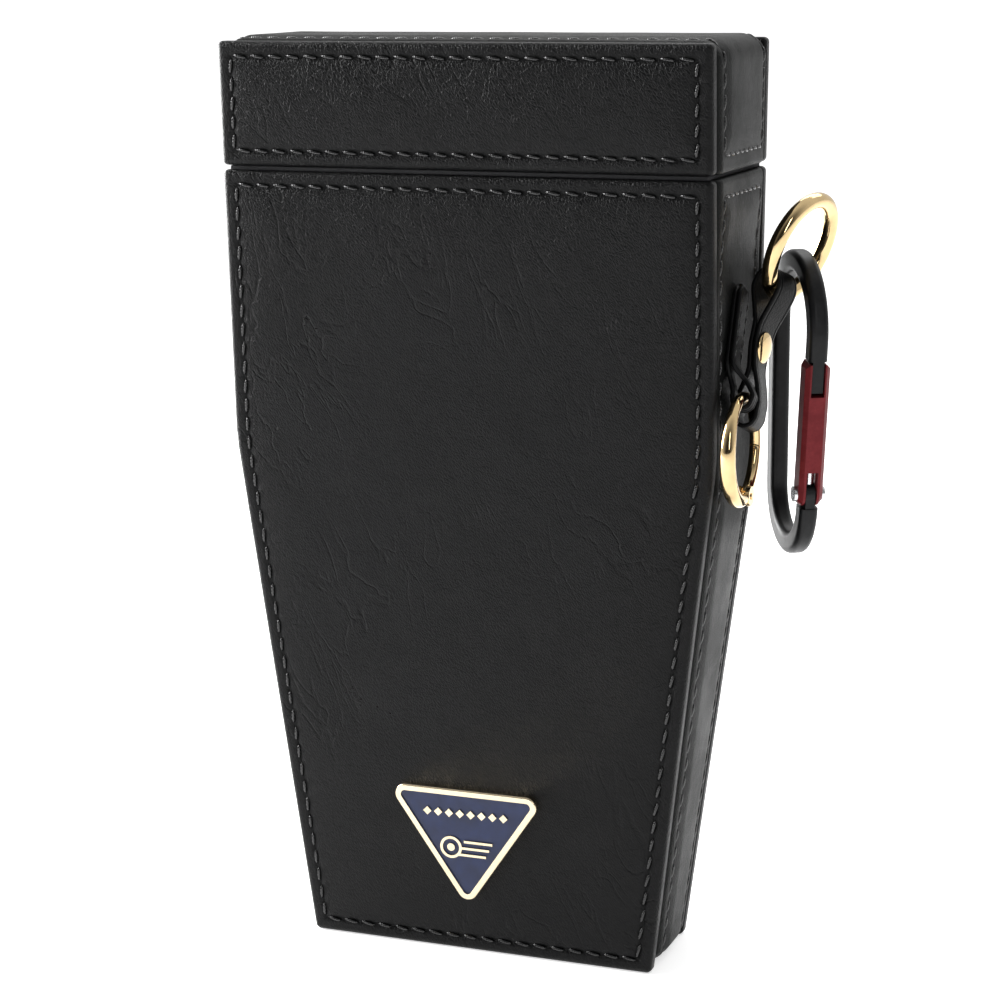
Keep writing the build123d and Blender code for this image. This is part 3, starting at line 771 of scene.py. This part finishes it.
# ---------------------------------------------------------------- strap, tab and hinge
def closed_curve(points, parts=5):
    """A smooth closed line through (u, v) points."""
    count, out = len(points), []
    for k in range(count):
        a, b, c, d = (np.array(points[(k + i) % count], float) for i in (-1, 0, 1, 2))
        for i in range(parts):
            t = i / parts
            square, cube = 2 * a - 5 * b + 4 * c - d, 3 * b - a - 3 * c + d
            out.append(0.5 * (2 * b + (c - a) * t + square * t * t + cube * t ** 3))
    return out


RIBBON_EDGE = [0.02, 0.10, 0.22, 0.40, 0.66, 0.80, 0.90, 1.00, 1.14, 1.40]
RIBBON_EDGE = [value * MM for value in RIBBON_EDGE]
CREASE_IN = 0.90 * MM


def no_twist(v):
    """A ribbon that keeps its width direction."""
    return 0.0


def ribbon(name, line, frame_of, widths, skin, crease=0.09 * MM, twist=no_twist):
    """A closed leather loop: a smooth line in (u, v), swept to its own width, with creased borders.

    frame_of is (origin, u direction, v direction, width direction); widths(u, v) gives the two edges.
    """
    origin, u_dir, v_dir, w_dir = frame_of
    count = len(line)
    verts, faces = [], []
    for k in range(count):
        u, v = line[k]
        ahead = line[(k + 1) % count] - line[k - 1]
        ahead /= np.linalg.norm(ahead)
        out = u_dir * ahead[1] - v_dir * ahead[0]
        low, high = widths(u, v)
        turned = Matrix.Rotation(twist(v), 3, v_dir)
        spot = origin + turned @ (u_dir * u) + v_dir * v
        out, wide_dir = turned @ out, turned @ w_dir
        near = [low + e for e in RIBBON_EDGE] + [(low + high) / 2] + [high - e for e in reversed(RIBBON_EDGE)]
        for sign in (1, -1):
            for w in near if sign > 0 else reversed(near):
                edge = min(w - low, high - w)
                rise = skin / 2 - fold(edge, 0.38 * MM)
                if sign > 0:
                    rise -= crease * math.exp(-((edge - CREASE_IN) / (0.13 * MM)) ** 2)
                verts.append(spot + wide_dir * w + out * (sign * rise))
    ring = 2 * (2 * len(RIBBON_EDGE) + 1)
    for k in range(count):
        a, b = k * ring, (k + 1) % count * ring
        for j in range(ring):
            m = (j + 1) % ring
            faces.append((a + j, a + m, b + m, b + j))
    obj = mesh_object(name, verts, faces, STRAP_SKIN)
    recalculate(obj)
    return obj


RING_CENTRE = Vector((52.2, -8.96, 105.3)) * MM
RING_LINE = 9.6 * MM
TAB_ANGLE, TAB_TILT, TAB_LONG, TAB_SKIN = 6.0, 23.3, 21.0, 0.9
STRAP_ANGLE, STRAP_YAW, STRAP_LEAN, STRAP_LONG, STRAP_HALF = 40.0, 18.5, 5.9, 21.95, 3.5
STRAP_TWIST, STRAP_THICK = 18.0, 0.88 * MM
TAB_STITCH, TAB_THREAD_R = 2.6 * MM, 0.24 * MM
RIVET_SIDES = 48


def on_lower_ring(angle):
    """Point on the lower ring's wire, in degrees from its top towards the back."""
    turn = math.radians(angle)
    return RING_CENTRE + Vector((0, math.sin(turn), math.cos(turn))) * RING_LINE


def side_tab():
    """Doubled leather tab on the right side, folded round the lower ring and stitched along its borders."""
    lean = math.radians(TAB_TILT)
    origin = on_lower_ring(TAB_ANGLE)
    u_dir, v_dir = Vector((1, 0, 0)), Vector((0, math.sin(lean), math.cos(lean)))
    w_dir = Vector((0, math.cos(lean), -math.sin(lean)))
    top = TAB_LONG
    points = [(0, -2.35), (1.3, -1.85), (1.85, -0.5), (1.85, 0.5), (0.6, 2.6), (-1.3, 4.6), (-2.15, 6.4)]
    points += [(-2.25, v) for v in (9, 12, 15, 18, 19.5)]
    points += [(-2.27, top - 0.5), (-2.7, top), (-3.13, top - 0.5)]
    points += [(-3.15, v) for v in (19.5, 18, 15, 12, 9)] + [(-3.12, 6.0), (-2.75, 3.6)]
    points += [(-2.1, 1.6), (-1.85, 0.5), (-1.85, -0.5), (-1.3, -1.85)]

    def widths(u, v):
        grow = smooth(2.6 * MM, 6.0 * MM, v)
        low = -(1.6 + (3.6 - 1.6) * grow) * MM
        high = (1.4 + (2.4 - 1.4) * smooth(4.0 * MM, 7.5 * MM, v)) * MM
        near_top = max(0.0, v - (top - 2.4) * MM)
        corner = 2.4 * MM - math.sqrt(max(0.0, (2.4 * MM) ** 2 - near_top ** 2))
        corner = min(corner, 1.6 * MM)
        return low + corner, high - corner

    line = [value * MM for value in closed_curve(points)]
    tab = ribbon("side_tab_skin", line, (origin, u_dir, v_dir, w_dir), widths, TAB_SKIN * MM)
    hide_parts("side_tab")
    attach(tab, "case")
    rows = []
    for w in (-2.5, 1.4):
        base = origin + u_dir * (-1.96 * MM) + w_dir * (w * MM)
        ends = [base + v_dir * (6.6 * MM), base + v_dir * ((top - 2.4) * MM)]
        rows.append(stitch_row(ends, u_dir, pitch=TAB_STITCH, radius=TAB_THREAD_R))
    join_rows("tab_stitching", rows, "case")


def strap():
    """Folded strap with an open loop at each end, drawn together at its riveted middle."""
    yaw, lean = math.radians(STRAP_YAW), math.radians(STRAP_LEAN)
    rise, outwards = Vector((0, math.sin(yaw), math.cos(yaw))), Vector((1, 0, 0))
    v_dir = rise * math.cos(lean) + outwards * math.sin(lean)
    u_dir = outwards * math.cos(lean) - rise * math.sin(lean)
    w_dir = Vector((0, math.cos(yaw), -math.sin(yaw)))
    end = STRAP_LONG
    half = [(0, -4.5), (1.35, -4.0), (2.05, -2.6), (2.05, -1.0), (2.0, 0.6), (1.35, 3.4), (0.62, 6.2)]
    half += [(0.47, 8.2), (0.46, 11.0), (0.47, end - 8.2), (0.66, end - 6.3), (1.7, end - 3.3)]
    half += [(2.6, end - 0.6), (2.65, end + 1.0), (1.85, end + 2.9)]
    points = half + [(0, end + 3.65)] + [(-u, v) for u, v in reversed(half[1:])]

    def widths(u, v):
        """Narrower at the loops than across the rivet."""
        middle = math.exp(-(((v - end / 2 * MM) / (6.5 * MM)) ** 2))
        side = (STRAP_HALF - 0.25 + 0.25 * middle) * MM
        return -side, side

    def bow(v):
        """The strap's middle leans in towards the case."""
        return -0.60 * math.exp(-(((v - end / 2) / 5.0) ** 2))

    def twist(v):
        """The upper part turns its face a little towards the front, as the ring pulls it."""
        return -math.radians(STRAP_TWIST) * smooth(3 * MM, 20 * MM, v)

    points = [(u + bow(v), v) for u, v in points]
    line = [value * MM for value in closed_curve(points)]
    axes = (on_lower_ring(STRAP_ANGLE), u_dir, v_dir, w_dir)
    band = ribbon("strap_skin", line, axes, widths, STRAP_THICK, twist=twist)
    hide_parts("strap")
    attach(band, "strap")
    turned = Matrix.Rotation(twist(end / 2 * MM), 3, v_dir)
    centre = on_lower_ring(STRAP_ANGLE) + v_dir * (end / 2 * MM) + turned @ (u_dir * (bow(end / 2) * MM))
    rivet(centre, turned @ u_dir, v_dir, turned @ w_dir)


def rivet(centre, u_dir, v_dir, w_dir):
    """Domed rivet through the strap, with a smaller flat cap behind."""
    profile = [(-1.32, 0.0), (-1.30, 1.7), (-1.22, 2.0), (-1.08, 2.1), (-0.90, 2.05), (-0.88, 1.2)]
    profile += [(0.88, 1.2), (0.88, 2.75), (0.95, 2.96), (1.10, 3.02), (1.28, 2.88), (1.46, 2.50)]
    profile += [(1.62, 1.90), (1.72, 1.10), (1.75, 0.0)]
    sides, verts, faces = RIVET_SIDES, [], []
    for u, radius in profile:
        for k in range(sides):
            turn = 2 * math.pi * k / sides
            ring = (v_dir * math.cos(turn) + w_dir * math.sin(turn)) * (max(radius, 0.02) * MM)
            verts.append(centre + u_dir * (u * MM) + ring)
    for i in range(len(profile) - 1):
        for k in range(sides):
            m = (k + 1) % sides
            faces.append((i * sides + k, i * sides + m, (i + 1) * sides + m, (i + 1) * sides + k))
    faces.append(tuple(range(sides)))
    faces.append(tuple((len(profile) - 1) * sides + k for k in range(sides)))
    obj = mesh_object("strap_rivet_cap", verts, faces, GOLD)
    recalculate(obj)
    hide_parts("strap_rivet")
    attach(obj, "strap")


def seam_lip():
    """Thin fabric-covered lip that stands up round the body's mouth and closes the joint to light."""
    bottom, top = BODY_TOP - 0.4 * MM, LID_LOW - 0.06 * MM
    loops = []
    for inset, z in ((1.25, bottom), (1.25, top), (2.95, top), (2.95, bottom)):
        x, y = TOP_WIDTH / 2 - inset * MM, half_depth(SEAM_Z) - inset * MM
        loops.append([Vector((x, -y, z)), Vector((x, y, z)), Vector((-x, y, z)), Vector((-x, -y, z))])
    verts = [spot for loop in loops for spot in loop]
    faces = []
    for i in range(4):
        for k in range(4):
            m, n = (k + 1) % 4, (i + 1) % 4
            faces.append((4 * i + k, 4 * i + m, 4 * n + m, 4 * n + k))
    obj = mesh_object("seam_lip", verts, faces, LINING, smooth=False)
    recalculate(obj)
    bevel = obj.modifiers.new("soft", "BEVEL")
    bevel.width, bevel.segments = 0.2 * MM, 3
    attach(obj, "case")


HINGE_HALF, HINGE_REACH, HINGE_SKIN = 44 * MM, 15 * MM, 0.7 * MM
HINGE_SEAM_IN, HINGE_FREE = 1.9 * MM, 2.6 * MM      # stitch line from the edge; unstitched strip at the joint


def hinge():
    """Leather hinge on the back: one strip over the joint, rounded at its edges, stitched to both plates."""
    low, high = SEAM_Z - HINGE_REACH, SEAM_Z + HINGE_REACH
    near = [0, 0.08, 0.2, 0.4, 0.7, 1.2, 1.7, 1.9, 2.1, 2.6, 3.4]
    near = [value * MM for value in near]
    rows = [low + e for e in near] + [low + 5 * MM + k * 1.25 * MM for k in range(6)]
    rows += [SEAM_Z + k * 0.25 * MM for k in range(-12, 13)]
    rows += [high - 5 * MM - k * 1.25 * MM for k in reversed(range(6))] + [high - e for e in reversed(near)]
    cols = [-HINGE_HALF + e for e in near]
    cols += [-HINGE_HALF + 5 * MM + (2 * HINGE_HALF - 10 * MM) * k / 30 for k in range(31)]
    cols += [HINGE_HALF - e for e in reversed(near)]
    verts, faces = [], []
    for layer in (0, 1):
        for z in rows:
            for x in cols:
                edge = min(HINGE_HALF - abs(x), z - low, high - z)
                if layer:
                    out = 0.02 * MM
                else:
                    out = HINGE_SKIN - fold(edge, 0.55 * MM) + 0.02 * MM * wave(x, 1, z, 7 * MM)
                    out -= 0.12 * MM * math.exp(-((edge - HINGE_SEAM_IN) / (0.25 * MM)) ** 2)
                    out -= 0.25 * MM * math.exp(-(((z - SEAM_Z) / (0.7 * MM)) ** 2))
                verts.append(Vector((x, half_depth(z) + max(out, 0.06 * MM * (1 - layer)), z)))
    wide, tall = len(cols), len(rows)
    for layer in (0, 1):
        for i in range(tall - 1):
            for j in range(wide - 1):
                a = layer * wide * tall + i * wide + j
                quad = (a, a + wide, a + wide + 1, a + 1)
                faces.append(quad if layer == 0 else (quad[0], quad[3], quad[2], quad[1]))
    border = [j for j in range(wide)] + [i * wide + wide - 1 for i in range(1, tall)]
    border += [(tall - 1) * wide + j for j in range(wide - 2, -1, -1)]
    border += [i * wide for i in range(tall - 2, 0, -1)]
    for a, b in zip(border, border[1:] + border[:1]):
        faces.append((a, b, b + wide * tall, a + wide * tall))
    strip = mesh_object("hinge_strip", verts, faces, SIDE_SKIN)
    recalculate(strip)
    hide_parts("hinge_leaf_body", "hinge_leaf_lid")
    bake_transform(strip)
    side, normal = HINGE_HALF - HINGE_SEAM_IN, Vector((0, 1, 0))

    def spot(x, z):
        return Vector((x, half_depth(z) + HINGE_SKIN - 0.1 * MM, z))

    ends = {"case": (low + HINGE_SEAM_IN, SEAM_Z - HINGE_FREE), "lid": (high - HINGE_SEAM_IN, SEAM_Z + HINGE_FREE)}
    for body, (near_z, far_z) in ends.items():
        left, right = spot(-side, near_z), spot(side, near_z)
        lines = [[left, right], [left, spot(-side, far_z)], [right, spot(side, far_z)]]
        join_rows(f"hinge_stitching_{body}", [stitch_row(line, normal) for line in lines], body)


side_tab()
strap()
hinge()
seam_lip()


# ---------------------------------------------------------------- camera, light, floor
def studio():
    """Pale floor, white surroundings, soft lights and the camera at the photograph's angle."""
    yaw, pitch, roll = map(math.radians, (CAMERA_YAW, CAMERA_PITCH, CAMERA_ROLL))
    back = Vector((math.sin(yaw) * math.cos(pitch), -math.cos(yaw) * math.cos(pitch), math.sin(pitch)))
    right = Vector((math.cos(yaw), math.sin(yaw), 0))
    up = back.cross(right)
    across = right * math.cos(roll) + up * math.sin(roll)
    above = -right * math.sin(roll) + up * math.cos(roll)
    data = bpy.data.cameras.new("camera")
    data.lens, data.sensor_width = CAMERA_LENS, 36
    data.clip_start, data.clip_end = 0.01, 100
    camera = bpy.data.objects.new("camera", data)
    bpy.context.scene.collection.objects.link(camera)
    turn = Matrix((across, above, back)).transposed().to_4x4()
    camera.matrix_world = Matrix.Translation(CAMERA_AT) @ turn
    bpy.context.scene.camera = camera

    corners = [(x * FLOOR_HALF, y * FLOOR_HALF, 0) for x, y in ((-1, -1), (1, -1), (1, 1), (-1, 1))]
    floor = mesh_object("floor", corners, [(0, 1, 2, 3)], floor_material())
    world = bpy.data.worlds.new("studio")
    bpy.context.scene.world = world
    world.use_nodes = True
    room(world.node_tree)
    for name, spot, target, wide, tall, power in LIGHTS:
        lamp = bpy.data.lights.new(name, "AREA")
        lamp.shape, lamp.size, lamp.size_y, lamp.energy = "RECTANGLE", wide, tall, power
        obj = bpy.data.objects.new(name, lamp)
        bpy.context.scene.collection.objects.link(obj)
        obj.location = spot
        aim = Vector(target) - Vector(spot)
        obj.rotation_mode = "QUATERNION"
        obj.rotation_quaternion = aim.to_track_quat("-Z", "Y")
    bpy.context.scene.view_settings.view_transform = "Standard"
    bpy.context.scene.view_settings.look = "None"


def room(tree):
    """Studio surroundings: white behind and to the sides, and a darker room in front of the case."""
    place = tree.nodes.new("ShaderNodeTexCoord")
    parts = tree.nodes.new("ShaderNodeSeparateXYZ")
    turn = tree.nodes.new("ShaderNodeVectorRotate")
    turn.rotation_type = "Z_AXIS"
    turn.inputs["Angle"].default_value = math.radians(-ROOM_TURN)
    shade = tree.nodes.new("ShaderNodeMapRange")
    shade.interpolation_type = "SMOOTHSTEP"
    shade.inputs["From Min"].default_value, shade.inputs["From Max"].default_value = -0.95, 0.05
    shade.inputs["To Min"].default_value, shade.inputs["To Max"].default_value = ROOM_DARK, ROOM_LIGHT
    tree.links.new(place.outputs["Generated"], turn.inputs["Vector"])
    tree.links.new(turn.outputs[0], parts.inputs[0])
    tree.links.new(parts.outputs["Y"], shade.inputs["Value"])
    tree.links.new(shade.outputs[0], tree.nodes["Background"].inputs[1])
    tree.nodes["Background"].inputs[0].default_value = (1, 1, 1, 1)


def floor_material():
    """Pale matt studio floor."""
    material, make, link, shader = nodes_of("pale_floor")
    shader.inputs["Base Color"].default_value = (0.93, 0.93, 0.93, 1)
    shader.inputs["Emission Color"].default_value = (1, 1, 1, 1)
    shader.inputs["Emission Strength"].default_value = FLOOR_GLOW
    shader.inputs["Roughness"].default_value = 0.9
    shader.inputs["Specular IOR Level"].default_value = 0.1
    return material


FLOOR_GLOW, FLOOR_HALF = 0.55, 40.0
ROOM_DARK, ROOM_LIGHT, ROOM_TURN = 0.03, 0.80, 20.0     # world strength in front and behind; degrees round Z
# name, place, target, width, height, watts
LIGHTS = [
    ("key_left", (-0.85, -0.14, 0.45), (0, 0, 0.1), 0.30, 0.6, 12.0),
    ("fill_right", (0.60, -0.75, 0.55), (0.04, 0, 0.1), 0.12, 0.6, 1.6),
    ("top_back", (0.1, 0.65, 0.75), (0, 0, 0.1), 0.9, 0.4, 2.5),
    ("rim_left", (-0.90, 0.33, 0.12), (0, 0, 0.1), 0.45, 0.9, 26.0),
]
studio()
